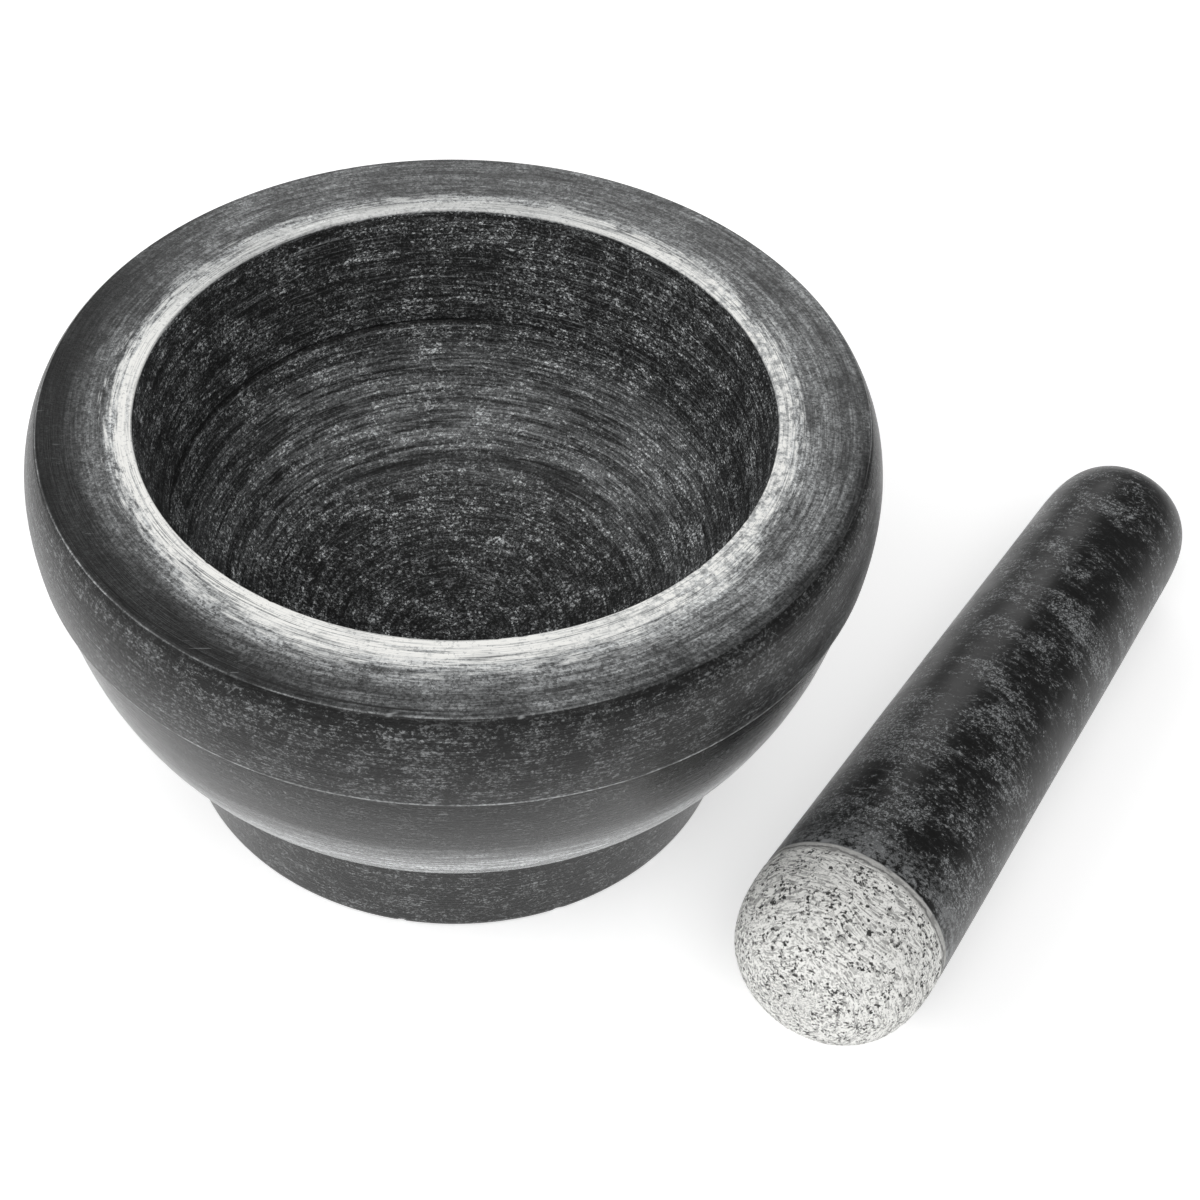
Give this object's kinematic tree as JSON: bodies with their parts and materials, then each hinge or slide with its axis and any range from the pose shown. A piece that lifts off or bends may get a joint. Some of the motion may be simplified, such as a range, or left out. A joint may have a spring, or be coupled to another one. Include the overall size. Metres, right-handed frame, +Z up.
{
  "type": "stone mortar and pestle",
  "caption": "Footed stone mortar with a grooved outer wall, a wide level rim and a deep round bowl, and a loose tapered stone pestle lying beside it.",
  "frame": {"origin": "centre of the flat underside of the mortar's foot", "axes": "+Z up along the mortar's turning axis; +X towards the side where the pestle lies; +Y towards the back, the way the pestle's handle points"},
  "size_m": [0.2384, 0.1724, 0.086],
  "materials": {
    "mortar_stone": "dark grey stone, turned and honed to a satin, with fine circular tool marks, light mineral flecks and a pale worn ring round the mouth",
    "pestle_stone": "the same dark stone rubbed smooth and slightly shiny on the shaft, with a rough pale pecked grinding end"
  },
  "bodies": {
    "mortar": {"mortar": "mortar_stone"},
    "pestle": {"pestle": "pestle_stone"}
  },
  "joints": [
    {"name": "pestle_lift", "type": "slide", "parent": "mortar", "child": "pestle", "axis": [0.1736, -0.1145, 0.9781], "range_m": [0, 0.16]}
  ]
}
